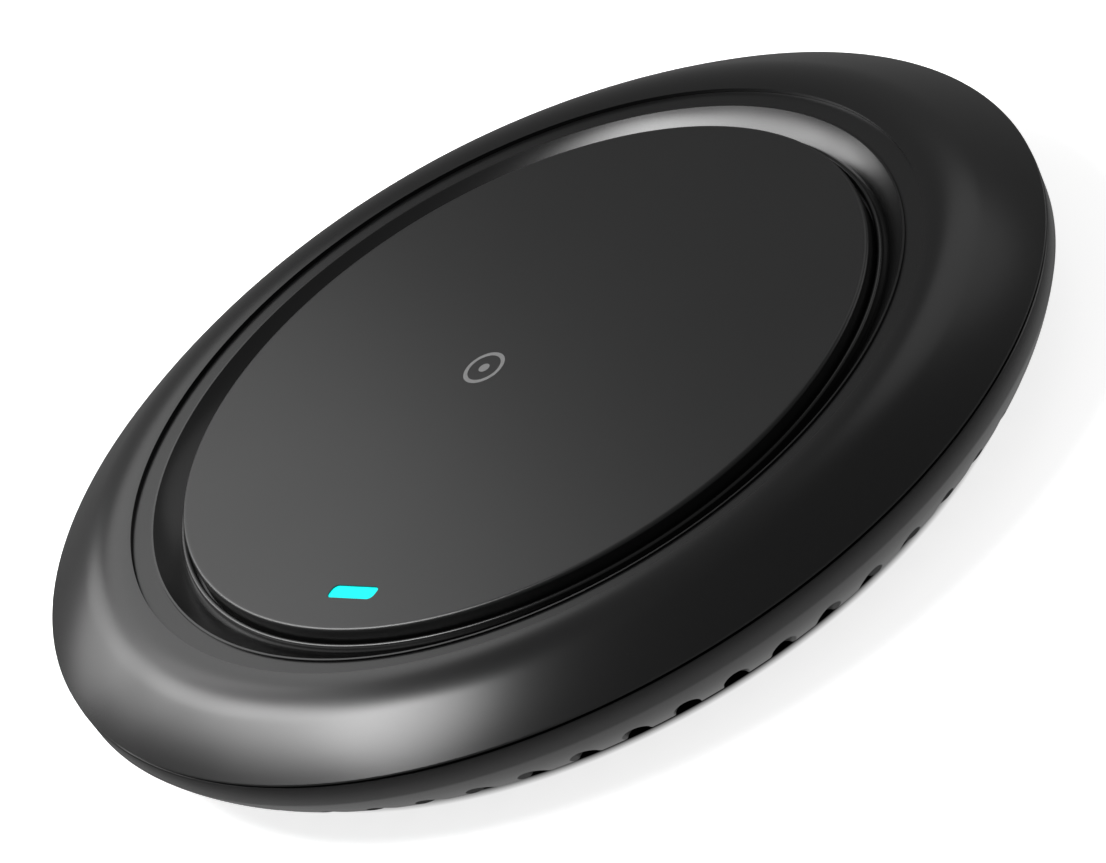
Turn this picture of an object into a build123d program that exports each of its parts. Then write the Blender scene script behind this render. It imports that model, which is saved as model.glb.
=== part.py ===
from build123d import *
import os
from math import asin, cos, degrees, radians, sin, sqrt

# Round wireless charging pad with a small cooling fan, every piece a solid of its own.
# Millimetres. Origin: centre of the footprint, on the surface that the pad stands on.
# +Z is up, -Y is the front (status light), +Y is the rear (USB-C inlet).

# ---- Driving dimensions -------------------------------------------------------------
PAD_R = 50.0                # widest radius, at the lower edge of the ring cover
EDGE_Z = 13.4               # inner top edge of the ring cover
RING_R = 39.9               # opening in the ring cover
CROWN_START = 3.4           # rise of the crown at its inner edge, degrees
CROWN_R, CROWN_Z = 45.2, 12.15      # where the crown turns into the outer slope
RING_FOOT_Z, RING_LIP = 8.8, 0.2    # lower edge of the ring cover, and its upright lip
SEAM = 0.3                  # shadow gap between the ring cover and the bottom case
SPIGOT_R, SPIGOT_THICK, SPIGOT_Z = 48.3, 1.0, 7.4   # ring that drops into the bottom case
CROWN_WALL = 1.5            # thickness of the ring cover under its crown
CATCHES, CATCH_WIDTH, CATCH_HEIGHT, CATCH_OUT = 6, 5.0, 0.7, 0.4

PLATE_R = 34.5
PLATE_TOP = 13.8
PLATE_THICK = 1.3
PLATE_ROUND = 0.38          # rounding of the plate's top edge
PLATE_RIM_R, PLATE_RIM_Z = 33.2, 11.4   # the plate's rim stands in the dish's channel

RIM_R, RIM_Z, RIM_WIDTH = 37.9, 13.2, 0.2       # thin rim of the dish
DISH_R, DISH_Z, DISH_SAG = 35.55, 11.6, 0.09    # bottom of the dish and its hollow
BEAD_R, BEAD_RADIUS, BEAD_Z = 35.0, 0.28, 12.2  # small bead beside the plate
SHELF_R, SHELF_THICK = 31.5, 1.2
LEDGE_Z, STEP_Z = 13.02, 12.52             # top of the trim ring, and its step under the cover
TRIM_R, TRIM_FOOT_Z = 41.3, 11.5

BAND_Z = 6.25               # foot of the upright band, where the skirt begins
SKIRT_R = 13.6              # radius of the skirt's curve
SKIRT_X, SKIRT_Z = 38.0, 13.16      # centre of the skirt's curve
BASE_Z = 0.8                # underside of the bottom case
WALL = 1.5                  # shell thickness of the bottom case
FLOOR_Z = BASE_Z + 1.4      # top of the bottom case's floor

VENTS = 57                  # places around the skirt
VENT_PHASE = -3.0           # angle of the first vent
VENT_TIP_R, VENT_ROOT_R = 48.1, 42.5
VENT_WIDTH, VENT_TOP = 2.7, 7.2
REAR_CLEAR = 9.0            # half angle left solid around the inlet, degrees

FOOT_R, FOOT_WIDTH, FOOT_ARC, FOOT_THICK = 33.0, 7.6, 62.0, 1.2
FEET = 4
FIRST_CORNER = 45.0         # feet, case screws and bosses stand at the four corners

SCREW_R = 33.5              # circle of the case screws
BOSS_R, BOSS_FOOT_Z = 2.4, 3.4
PILLAR_R = 3.2
HEAD_R, SEAT_Z, SCREW_TOP = 1.9, 2.3, 8.9
SHANK_R = 0.95
FIT = 0.05                  # radial play of pieces that sit in a hole

BOARD_Z, BOARD_TOP = 3.7, 4.7
BOARD_R, BOARD_HOLE_R = 30.5, 18.5
TONGUE_WIDTH, TONGUE_END = 13.0, 44.5
POST_CIRCLE, POST_R, POSTS, FIRST_POST = 25.5, 2.0, 3, 30.0
SMALL_HEAD_R, SMALL_SHANK_R, SMALL_HEAD = 1.5, 0.75, 0.9

LIGHT_R = 29.4              # distance of the status light from the centre
LIGHT_LENGTH, LIGHT_WIDTH, LIGHT_CORNER = 5.6, 1.7, 0.6
LIGHT_RECESS = 0.1

PAD_THICK = 0.2             # adhesive pad between coil and plate
WIRE_R = 0.6
COIL_R, COIL_PITCH, COIL_TURNS = 10.6, 1.25, 9
FERRITE_R, FERRITE_THICK = 24.2, 0.8
TRAY_R, TRAY_THICK = 26.5, 0.8
EAR_CIRCLE, EAR_R, EARS, FIRST_EAR = 33.4, 2.0, 4, 20.0
EAR_Z = 9.2                 # underside of the tray's ears

INLET_WIDTH, INLET_HEIGHT, INLET_LENGTH = 8.94, 3.26, 7.4
INLET_END = 48.4            # mouth of the inlet
INLET_WALL, INLET_CORNER = 0.3, 1.55

THERMISTOR_LENGTH, THERMISTOR_WIDTH, THERMISTOR_HEIGHT, THERMISTOR_X = 3.2, 1.8, 1.0, 3.0
INDUCTOR_SIZE, INDUCTOR_HEIGHT, INDUCTOR_CORNER, INDUCTOR_CIRCLE = 6.0, 2.8, 1.2, 25.0
THIN_WIRE_R, THIN_WIRE_BEND = 0.2, 0.4

FAN_LEG_R, FAN_LEG_CIRCLE, FAN_LEGS = 1.3, 15.7, 3
FAN_PLATE_R, FAN_PLATE_Z, FAN_TOP = 17.4, 7.3, 8.0
FAN_R, HUB_R, HUB_WALL = 13.2, 6.8, 0.7
HUB_Z, HUB_THICK, BLADE_Z, BLADE_TOP = 3.2, 0.7, 3.4, 6.8
BLADES, BLADE_THICK, BLADE_SWEEP = 11, 0.5, 34.0
TUBE_R, BEARING_R, SHAFT_R, RUNNING_FIT = 2.2, 1.5, 0.75, 0.05
BEARING_LENGTH = 3.1
POLES, POLE_R, POLE_WIDTH = 6, 3.6, 0.9     # the stator's arms
SHOE_R, SHOE_WIDTH = 4.6, 2.8               # their outer ends
STATOR_R, STATOR_Z, STATOR_THICK = 3.0, 5.0, 1.4
WINDING_LENGTH, WINDING_WIDTH, WINDING_OVER = 1.1, 1.6, 0.4
MAGNET_THICK, MAGNET_HEIGHT = 0.7, 2.8
FRAME_GAP = 0.4                             # free height between the rotor and the frame
FAN_WIRE_R, FAN_WIRE_BEND, FAN_HEAD_R, FAN_HEAD = 0.2, 0.3, 1.25, 0.7
LEAD_ANGLE, SOCKET_CIRCLE, SOCKET_HEIGHT = 115.0, 21.5, 2.2     # fan wires meet the board
GRILLE_SLOTS, GRILLE_R, GRILLE_LENGTH, GRILLE_WIDTH = 12, 9.1, 7.0, 1.8

# ---- Heights worked out from the dimensions above -----------------------------------
PLATE_FOOT = PLATE_TOP - PLATE_THICK
COIL_TOP = PLATE_FOOT - PAD_THICK
COIL_Z = COIL_TOP - WIRE_R
FERRITE_TOP = COIL_Z - WIRE_R
TRAY_TOP = FERRITE_TOP - FERRITE_THICK
SHELF_FOOT = PLATE_RIM_Z - SHELF_THICK
BAND_TOP = RING_FOOT_Z - SEAM
INLET_Z = BOARD_TOP + INLET_HEIGHT / 2
COIL_END_R = COIL_R + COIL_TURNS * COIL_PITCH

os.makedirs("parts", exist_ok=True)


def around(radius, angle):
    """A point in plan, at a radius and an angle in degrees."""
    return (radius * cos(radians(angle)), radius * sin(radians(angle)))


def skirt_angle(radius, height):
    """Angle on the skirt's curve, below its centre, at a height."""
    return -degrees(asin((SKIRT_Z - height) / radius))


# ---- Outer shells -------------------------------------------------------------------
with BuildPart() as charging_plate:
    with BuildSketch(Plane.XZ):
        with BuildLine():
            Polyline((0, PLATE_FOOT), (0, PLATE_TOP), (PLATE_R, PLATE_TOP), (PLATE_R, PLATE_RIM_Z),
                     (PLATE_RIM_R, PLATE_RIM_Z), (PLATE_RIM_R, PLATE_FOOT), close=True)
        make_face()
    revolve(axis=Axis.Z)
    fillet(charging_plate.faces().sort_by(Axis.Z)[-1].edges(), PLATE_ROUND)
    with BuildSketch(Plane.XY.offset(PLATE_TOP)):
        with Locations((0, -LIGHT_R)):
            RectangleRounded(LIGHT_LENGTH, LIGHT_WIDTH, LIGHT_CORNER)
    extrude(amount=-PLATE_THICK, mode=Mode.SUBTRACT)

with BuildPart() as status_light_guide:
    with BuildSketch(Plane.XY.offset(PLATE_TOP - LIGHT_RECESS)):
        with Locations((0, -LIGHT_R)):
            RectangleRounded(LIGHT_LENGTH - 2 * FIT, LIGHT_WIDTH - 2 * FIT, LIGHT_CORNER - FIT)
    extrude(amount=-(PLATE_TOP - LIGHT_RECESS - BOARD_TOP - 0.9))
    with BuildSketch(Plane.XY.offset(PLATE_FOOT)):
        with Locations((0, -LIGHT_R)):
            RectangleRounded(LIGHT_LENGTH + 2, LIGHT_WIDTH + 1.2, LIGHT_CORNER)
    extrude(amount=-0.8)

with BuildPart() as dish_bezel:
    with BuildSketch(Plane.XZ):
        with BuildLine():
            Polyline((DISH_R, DISH_Z), (BEAD_R + BEAD_RADIUS, DISH_Z),
                     (BEAD_R + BEAD_RADIUS, BEAD_Z))
            CenterArc((BEAD_R, BEAD_Z), BEAD_RADIUS, 0, 180)
            Polyline((BEAD_R - BEAD_RADIUS, BEAD_Z), (BEAD_R - BEAD_RADIUS, PLATE_RIM_Z),
                     (SHELF_R, PLATE_RIM_Z), (SHELF_R, SHELF_FOOT), (TRIM_R, SHELF_FOOT),
                     (TRIM_R, TRIM_FOOT_Z), (RIM_R, TRIM_FOOT_Z), (RIM_R, RIM_Z),
                     (RIM_R - RIM_WIDTH, RIM_Z))
            SagittaArc((RIM_R - RIM_WIDTH, RIM_Z), (DISH_R, DISH_Z), -DISH_SAG)
        make_face()
    revolve(axis=Axis.Z)
    with BuildSketch(Plane.XY.offset(BOSS_FOOT_Z)):
        with PolarLocations(SCREW_R, FEET, start_angle=FIRST_CORNER):
            Circle(BOSS_R)
    extrude(until=Until.NEXT)
    with BuildSketch(Plane.XY.offset(BOSS_FOOT_Z)):
        with PolarLocations(SCREW_R, FEET, start_angle=FIRST_CORNER):
            Circle(SHANK_R + FIT)
    extrude(amount=SCREW_TOP + 0.5 - BOSS_FOOT_Z, mode=Mode.SUBTRACT)
    with BuildSketch(Plane.XY.offset(SHELF_FOOT)):
        with PolarLocations(EAR_CIRCLE, EARS, start_angle=FIRST_EAR):
            Circle(SMALL_SHANK_R + FIT)
    extrude(amount=SHELF_THICK - 0.1, mode=Mode.SUBTRACT)

with BuildPart() as trim_ring:
    with BuildSketch(Plane.XZ):
        with BuildLine():
            Polyline((RIM_R, LEDGE_Z), (RING_R, LEDGE_Z), (RING_R, STEP_Z), (TRIM_R, STEP_Z),
                     (TRIM_R, TRIM_FOOT_Z), (RIM_R, TRIM_FOOT_Z), close=True)
        make_face()
    revolve(axis=Axis.Z)

with BuildPart() as ring_cover:
    with BuildSketch(Plane.XZ):
        with BuildLine():
            crown = TangentArc((RING_R, EDGE_Z), (CROWN_R, CROWN_Z),
                               tangent=around(1, CROWN_START))
            slope = TangentArc(crown @ 1, (PAD_R, RING_FOOT_Z + RING_LIP), tangent=crown % 1)
            Polyline(slope @ 1, (PAD_R, RING_FOOT_Z), (SPIGOT_R, RING_FOOT_Z), (SPIGOT_R, SPIGOT_Z),
                     (SPIGOT_R - SPIGOT_THICK, SPIGOT_Z), (SPIGOT_R - SPIGOT_THICK, RING_FOOT_Z),
                     (CROWN_R, CROWN_Z - CROWN_WALL), (TRIM_R + 0.1, EDGE_Z - CROWN_WALL),
                     (TRIM_R + 0.1, STEP_Z), (RING_R, STEP_Z), (RING_R, EDGE_Z))
        make_face()
    revolve(axis=Axis.Z)
    with BuildSketch(Plane.XY.offset(SPIGOT_Z + 0.2)):
        with PolarLocations(SPIGOT_R, CATCHES):
            Rectangle(2 * CATCH_OUT, CATCH_WIDTH)
    extrude(amount=CATCH_HEIGHT)
    # Notch in the spigot, over the inlet.
    with BuildSketch(Plane.XY.offset(SPIGOT_Z)):
        with Locations((0, SPIGOT_R - SPIGOT_THICK / 2)):
            Rectangle(INLET_WIDTH + 1, 2 * SPIGOT_THICK)
    extrude(amount=RING_FOOT_Z - SPIGOT_Z - SEAM, mode=Mode.SUBTRACT)

with BuildPart() as bottom_case:
    with BuildSketch(Plane.XZ):
        with BuildLine():
            low_angle, high_angle = skirt_angle(SKIRT_R, BASE_Z), skirt_angle(SKIRT_R, BAND_Z)
            outside = CenterArc((SKIRT_X, SKIRT_Z), SKIRT_R, low_angle, high_angle - low_angle)
            inner_r = SKIRT_R - WALL
            low_angle, high_angle = skirt_angle(inner_r, FLOOR_Z), skirt_angle(inner_r, BAND_Z)
            inside = CenterArc((SKIRT_X, SKIRT_Z), inner_r, low_angle, high_angle - low_angle)
            Polyline(outside @ 1, (PAD_R, BAND_TOP), (PAD_R - WALL, BAND_TOP),
                     (PAD_R - WALL, VENT_TOP), inside @ 1)
            Polyline(inside @ 0, (0, FLOOR_Z), (0, BASE_Z), outside @ 0)
        make_face()
    revolve(axis=Axis.Z)
    fillet(bottom_case.edges().filter_by(GeomType.CIRCLE).sort_by(SortBy.RADIUS)[-1], 0.25)
    with BuildSketch(Plane.XY.offset(FLOOR_Z)):
        with PolarLocations(SCREW_R, FEET, start_angle=FIRST_CORNER):
            Circle(PILLAR_R)
    extrude(amount=BOSS_FOOT_Z - FLOOR_Z)
    with BuildSketch(Plane.XY.offset(FLOOR_Z)):
        with PolarLocations(POST_CIRCLE, POSTS, start_angle=FIRST_POST):
            Circle(POST_R)
    extrude(amount=BOARD_Z - FLOOR_Z)
    # Recesses for the rubber feet, and the holes for the case screws inside them.
    with BuildSketch(Plane.XY):
        for corner in range(FEET):
            middle = FIRST_CORNER + corner * 360 / FEET
            SlotArc(CenterArc((0, 0), FOOT_R, middle - FOOT_ARC / 2, FOOT_ARC), FOOT_WIDTH)
    extrude(amount=FOOT_THICK, mode=Mode.SUBTRACT)
    with PolarLocations(SCREW_R, FEET, start_angle=FIRST_CORNER):
        with Locations((0, 0, BOSS_FOOT_Z)):
            Hole(SHANK_R + 0.25, BOSS_FOOT_Z)
        with Locations((0, 0, SEAT_Z)):
            Hole(HEAD_R + 0.2, SEAT_Z)
    # Blind holes for the board screws and the fan screws.
    with BuildSketch(Plane.XY.offset(BOARD_Z)):
        with PolarLocations(POST_CIRCLE, POSTS, start_angle=FIRST_POST):
            Circle(SMALL_SHANK_R + FIT)
    extrude(amount=-1.3, mode=Mode.SUBTRACT)
    with BuildSketch(Plane.XY.offset(FLOOR_Z)):
        with PolarLocations(FAN_LEG_CIRCLE, FAN_LEGS, start_angle=FIRST_POST):
            Circle(SMALL_SHANK_R + FIT)
    extrude(amount=-0.9, mode=Mode.SUBTRACT)
    # Air: the vents round the skirt, and the grille under the fan.
    with BuildSketch(Plane.XY):
        for place in range(VENTS):
            angle = VENT_PHASE + place * 360 / VENTS
            if abs(angle - 90) > REAR_CLEAR:
                with Locations(Location(around((VENT_TIP_R + VENT_ROOT_R) / 2, angle), angle)):
                    SlotOverall(VENT_TIP_R - VENT_ROOT_R, VENT_WIDTH)
    extrude(amount=VENT_TOP, mode=Mode.SUBTRACT)
    with BuildSketch(Plane.XY):
        with PolarLocations(GRILLE_R, GRILLE_SLOTS):
            SlotOverall(GRILLE_LENGTH, GRILLE_WIDTH)
    extrude(amount=FLOOR_Z, mode=Mode.SUBTRACT)
    # Tunnel for the inlet, and pockets for the ring cover's catches.
    with BuildSketch(Plane.XZ.offset(-PAD_R)):
        with Locations((0, INLET_Z)):
            RectangleRounded(INLET_WIDTH + 0.3, INLET_HEIGHT + 0.3, INLET_CORNER + 0.1)
    extrude(amount=PAD_R - TONGUE_END + 0.5, mode=Mode.SUBTRACT)
    with BuildSketch(Plane.XY.offset(SPIGOT_Z + 0.1)):
        with PolarLocations(PAD_R - WALL, CATCHES):
            Rectangle(2 * CATCH_OUT, CATCH_WIDTH + 0.4)
    extrude(amount=CATCH_HEIGHT + 0.2, mode=Mode.SUBTRACT)

with BuildPart() as rubber_feet:
    with BuildSketch(Plane.XY):
        for corner in range(FEET):
            middle = FIRST_CORNER + corner * 360 / FEET
            SlotArc(CenterArc((0, 0), FOOT_R, middle - FOOT_ARC / 2, FOOT_ARC),
                    FOOT_WIDTH - 2 * FIT)
    extrude(amount=FOOT_THICK)
    fillet(rubber_feet.edges().group_by(Axis.Z)[0], 0.25)

with BuildPart() as case_screws:
    with BuildSketch(Plane.XY.offset(FOOT_THICK + FIT)):
        with PolarLocations(SCREW_R, FEET, start_angle=FIRST_CORNER):
            Circle(HEAD_R)
    extrude(amount=SEAT_Z - FOOT_THICK - FIT)
    chamfer(case_screws.edges().group_by(Axis.Z)[0], 0.25)
    with BuildSketch(Plane.XY.offset(SEAT_Z)):
        with PolarLocations(SCREW_R, FEET, start_angle=FIRST_CORNER):
            Circle(SHANK_R)
    extrude(amount=SCREW_TOP - SEAT_Z)
    with BuildSketch(Plane.XY):
        with PolarLocations(SCREW_R, FEET, start_angle=FIRST_CORNER):
            Rectangle(1.8, 0.45)
            Rectangle(0.45, 1.8)
    extrude(amount=FOOT_THICK + 0.6, mode=Mode.SUBTRACT)

# ---- Charging coil and its carrier --------------------------------------------------
lead_holes = [(COIL_R, -1.0), (COIL_END_R, 4.0)]

with BuildPart() as coil_tray:
    with BuildSketch(Plane.XY.offset(TRAY_TOP - TRAY_THICK)):
        Circle(TRAY_R)
        with PolarLocations(TRAY_R + 1.0, EARS, start_angle=FIRST_EAR):
            Rectangle(6.0, 2 * EAR_R)
    extrude(amount=TRAY_THICK)
    with BuildSketch(Plane.XY.offset(TRAY_TOP)):
        Circle(TRAY_R)
        Circle(FERRITE_R + FIT, mode=Mode.SUBTRACT)
    extrude(amount=FERRITE_THICK)
    with BuildSketch(Plane.XY.offset(EAR_Z)):
        with PolarLocations(EAR_CIRCLE - 1.5, EARS, start_angle=FIRST_EAR):
            SlotOverall(2 * EAR_R + 3.0, 2 * EAR_R)
    extrude(amount=SHELF_FOOT - EAR_Z)
    with BuildSketch(Plane.XY.offset(EAR_Z)):
        with PolarLocations(EAR_CIRCLE, EARS, start_angle=FIRST_EAR):
            Circle(SMALL_SHANK_R + FIT)
        with Locations(*lead_holes, (0, 0)):
            Circle(1.4)
        with PolarLocations(17.0, 8, start_angle=22.5):
            Circle(2.2)
    extrude(amount=TRAY_TOP - EAR_Z, mode=Mode.SUBTRACT)

with BuildPart() as tray_screws:
    with BuildSketch(Plane.XY.offset(EAR_Z - SMALL_HEAD)):
        with PolarLocations(EAR_CIRCLE, EARS, start_angle=FIRST_EAR):
            Circle(SMALL_HEAD_R)
    extrude(amount=SMALL_HEAD)
    fillet(tray_screws.edges().group_by(Axis.Z)[0], 0.3)
    with BuildSketch(Plane.XY.offset(EAR_Z)):
        with PolarLocations(EAR_CIRCLE, EARS, start_angle=FIRST_EAR):
            Circle(SMALL_SHANK_R)
    extrude(amount=1.9)

with BuildPart() as ferrite_shield:
    with BuildSketch(Plane.XY.offset(TRAY_TOP)):
        Circle(FERRITE_R)
        with Locations(*lead_holes, (0, 0)):
            Circle(1.2, mode=Mode.SUBTRACT)
    extrude(amount=FERRITE_THICK)

# Flat spiral of half turns: each one's centre is a quarter pitch to either side.
with BuildPart() as transmit_coil:
    with BuildLine(Plane.XY.offset(COIL_Z)) as spiral:
        for half in range(2 * COIL_TURNS):
            side = -1 if half % 2 == 0 else 1
            CenterArc((side * COIL_PITCH / 4, 0), COIL_R + COIL_PITCH / 4 + half * COIL_PITCH / 2,
                      180 * (half % 2), 180)
    with BuildSketch(Plane(origin=(COIL_R, 0, COIL_Z), z_dir=(0, 1, 0))):
        Circle(WIRE_R)
    sweep(path=spiral.wires()[0])

with BuildPart() as coil_pad:
    with BuildSketch(Plane.XY.offset(COIL_TOP)):
        Circle(COIL_END_R + 1.0)
        Circle(COIL_R - 1.2, mode=Mode.SUBTRACT)
    extrude(amount=PAD_THICK)


def wires(routes, radius, bend):
    """Round wires, each along straight runs joined by arcs."""
    with BuildPart() as loom:
        for route in routes:
            with BuildLine() as path:
                FilletPolyline(*route, radius=bend)
            with BuildSketch(Plane(origin=path.line @ 0, z_dir=path.line % 0)):
                Circle(radius)
            sweep(path=path.wires()[0])
    return loom


LEAD_Z = TRAY_TOP - TRAY_THICK - 0.75     # wires run here, between the fan and the tray
coil_leads = wires(
    [[(COIL_R, 0, COIL_Z), (COIL_R, -1.0, COIL_Z), (COIL_R, -1.0, LEAD_Z),
      (22.5, -1.0, LEAD_Z), (22.5, -1.0, BOARD_TOP)],
     [(COIL_END_R, 0, COIL_Z), (COIL_END_R, 4.0, COIL_Z), (COIL_END_R, 4.0, BOARD_TOP)]],
    WIRE_R - 0.1, 0.7)

with BuildPart() as thermistor:
    with BuildSketch(Plane.XY.offset(FERRITE_TOP)):
        with Locations((THERMISTOR_X, 0)):
            RectangleRounded(THERMISTOR_LENGTH, THERMISTOR_WIDTH, THERMISTOR_WIDTH / 3)
    extrude(amount=THERMISTOR_HEIGHT)
    fillet(thermistor.edges().group_by(Axis.Z)[-1], 0.3)

thermistor_leads = wires(
    [[(1.4, side, FERRITE_TOP + 0.5), (0, side, FERRITE_TOP + 0.5), (0, side, LEAD_Z),
      (-20.0, side, LEAD_Z), (-20.0, side, BOARD_TOP)]
     for side in (-0.5, 0.5)], THIN_WIRE_R, THIN_WIRE_BEND)

# ---- Circuit board and what stands on it --------------------------------------------
with BuildPart() as circuit_board:
    with BuildSketch(Plane.XY.offset(BOARD_Z)):
        Circle(BOARD_R)
        with Locations((0, TONGUE_END / 2)):
            Rectangle(TONGUE_WIDTH, TONGUE_END)
        Circle(BOARD_HOLE_R, mode=Mode.SUBTRACT)
        with PolarLocations(POST_CIRCLE, POSTS, start_angle=FIRST_POST):
            Circle(SMALL_SHANK_R + 0.15, mode=Mode.SUBTRACT)
    extrude(amount=BOARD_TOP - BOARD_Z)

with BuildPart() as board_screws:
    with BuildSketch(Plane.XY.offset(BOARD_TOP)):
        with PolarLocations(POST_CIRCLE, POSTS, start_angle=FIRST_POST):
            Circle(SMALL_HEAD_R)
    extrude(amount=SMALL_HEAD)
    fillet(board_screws.edges().group_by(Axis.Z)[-1], 0.3)
    with BuildSketch(Plane.XY.offset(BOARD_TOP - 2.1)):
        with PolarLocations(POST_CIRCLE, POSTS, start_angle=FIRST_POST):
            Circle(SMALL_SHANK_R)
    extrude(amount=2.1)


def components(places, length, width, height, edge=0.08):
    """Block-shaped components on the board: each place is a radius, an angle and a turn."""
    with BuildPart() as group:
        with BuildSketch(Plane.XY.offset(BOARD_TOP)):
            for radius, angle, turn in places:
                with Locations(Location(around(radius, angle), turn)):
                    Rectangle(length, width)
        extrude(amount=height)
        chamfer(group.edges().group_by(Axis.Z)[-1], edge)
    return group


status_leds = components([(LIGHT_R + 0.01, 267, 0), (LIGHT_R + 0.01, 273, 0)], 1.6, 0.8, 0.6)
controller_chip = components([(24.5, 200, 20)], 5.0, 5.0, 0.9)
bridge_transistors = components([(24.0, angle, angle) for angle in (-16, -29, -42, -55)],
                                3.3, 3.3, 1.0)
resonant_capacitors = components([(27.0, angle, angle) for angle in (46, 53.5, 61, 68.5)],
                                 3.2, 2.5, 2.0, 0.15)
input_capacitors = components([(36.5, 99, 90), (36.5, 81, 90)], 3.5, 2.8, 1.9, 0.15)
timing_crystal = components([(24.5, 183, 90)], 3.2, 2.5, 0.8)
small_passives = components(
    [(20.6, angle, angle + 90) for angle in range(185, 330, 12)]
    + [(28.6, angle, angle + 90) for angle in range(165, 260, 12)], 1.6, 0.8, 0.8)
fan_socket = components([(SOCKET_CIRCLE, LEAD_ANGLE, LEAD_ANGLE - 90)], 4.5, 3.6, SOCKET_HEIGHT)

with BuildPart() as power_inductor:
    with BuildSketch(Plane.XY.offset(BOARD_TOP)):
        with Locations(Location(around(INDUCTOR_CIRCLE, 132), 42)):
            RectangleRounded(INDUCTOR_SIZE, INDUCTOR_SIZE, INDUCTOR_CORNER)
    extrude(amount=INDUCTOR_HEIGHT)
    chamfer(power_inductor.edges().group_by(Axis.Z)[-1], 0.3)

# ---- USB-C inlet --------------------------------------------------------------------
with BuildPart() as usb_shell:
    with BuildSketch(Plane.XZ.offset(-INLET_END)):
        with Locations((0, INLET_Z)):
            RectangleRounded(INLET_WIDTH, INLET_HEIGHT, INLET_CORNER)
            RectangleRounded(INLET_WIDTH - 2 * INLET_WALL, INLET_HEIGHT - 2 * INLET_WALL,
                             INLET_CORNER - INLET_WALL, mode=Mode.SUBTRACT)
    extrude(amount=INLET_LENGTH)

with BuildPart() as usb_tongue:
    with BuildSketch(Plane.XZ.offset(-(INLET_END - INLET_LENGTH))):
        with Locations((0, INLET_Z)):
            RectangleRounded(INLET_WIDTH - 2 * INLET_WALL - 0.02,
                             INLET_HEIGHT - 2 * INLET_WALL - 0.02, INLET_CORNER - INLET_WALL)
    extrude(amount=-1.6)
    with BuildSketch(Plane.XZ.offset(-(INLET_END - INLET_LENGTH))):
        with Locations((0, INLET_Z)):
            Rectangle(6.7, 0.7)
    extrude(amount=-(INLET_LENGTH - 0.8))
    fillet(usb_tongue.faces().sort_by(Axis.Y)[-1].edges().filter_by(Axis.Z), 0.3)

with BuildPart() as usb_contacts:
    with BuildSketch(Plane.XY.offset(INLET_Z - 0.4)):
        with Locations((0, INLET_END - 3.2)):
            with GridLocations(0.5, 0, 12, 1):
                Rectangle(0.25, 4.0)
    extrude(amount=0.05)
    mirror(about=Plane.XY.offset(INLET_Z))

# ---- Cooling fan --------------------------------------------------------------------
with BuildPart() as fan_frame:
    with BuildSketch(Plane.XY.offset(FAN_PLATE_Z)):
        Circle(FAN_PLATE_R)
    extrude(amount=FAN_TOP - FAN_PLATE_Z)
    fillet(fan_frame.edges().group_by(Axis.Z)[-1], 0.3)
    with BuildSketch(Plane.XY.offset(FLOOR_Z)):
        with PolarLocations(FAN_LEG_CIRCLE, FAN_LEGS, start_angle=FIRST_POST):
            Circle(FAN_LEG_R)
    extrude(amount=FAN_PLATE_Z - FLOOR_Z)
    with BuildSketch(Plane.XY.offset(FAN_PLATE_Z)):
        Circle(TUBE_R)
        Circle(BEARING_R, mode=Mode.SUBTRACT)
    extrude(amount=-BEARING_LENGTH)
    with BuildSketch(Plane.XY.offset(FLOOR_Z)):
        with PolarLocations(FAN_LEG_CIRCLE, FAN_LEGS, start_angle=FIRST_POST):
            Circle(SMALL_SHANK_R + FIT)
        with Locations(around(POLE_R, LEAD_ANGLE)):
            Circle(2 * FAN_WIRE_R + 0.4)
    extrude(amount=FAN_TOP - FLOOR_Z, mode=Mode.SUBTRACT)

with BuildPart() as fan_bearing:
    with BuildSketch(Plane.XY.offset(FAN_PLATE_Z)):
        Circle(BEARING_R)
        Circle(SHAFT_R + RUNNING_FIT, mode=Mode.SUBTRACT)
    extrude(amount=-BEARING_LENGTH)

with BuildPart() as fan_stator:
    with BuildSketch(Plane.XY.offset(STATOR_Z)):
        Circle(STATOR_R)
        with PolarLocations(POLE_R, POLES):
            Rectangle(2 * (SHOE_R - POLE_R), POLE_WIDTH)
        with PolarLocations(SHOE_R, POLES):
            Rectangle(0.5, SHOE_WIDTH)
        Circle(TUBE_R, mode=Mode.SUBTRACT)
    extrude(amount=STATOR_THICK)

with BuildPart() as fan_windings:
    with BuildSketch(Plane.XY.offset(STATOR_Z - WINDING_OVER)):
        with PolarLocations(POLE_R + 0.06, POLES):
            Rectangle(WINDING_LENGTH, WINDING_WIDTH)
    extrude(amount=STATOR_THICK + 2 * WINDING_OVER)
    with BuildSketch(Plane.XY.offset(STATOR_Z)):
        with PolarLocations(POLE_R + 0.06, POLES):
            Rectangle(WINDING_LENGTH + 0.2, POLE_WIDTH)
    extrude(amount=STATOR_THICK, mode=Mode.SUBTRACT)

with BuildPart() as fan_shaft:
    with BuildSketch(Plane.XY.offset(HUB_Z)):
        Circle(SHAFT_R)
    extrude(amount=FAN_PLATE_Z - FRAME_GAP - HUB_Z)

with BuildPart() as fan_magnet:
    with BuildSketch(Plane.XY.offset(HUB_Z + HUB_THICK)):
        Circle(HUB_R - HUB_WALL)
        Circle(HUB_R - HUB_WALL - MAGNET_THICK, mode=Mode.SUBTRACT)
    extrude(amount=MAGNET_HEIGHT)

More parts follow.
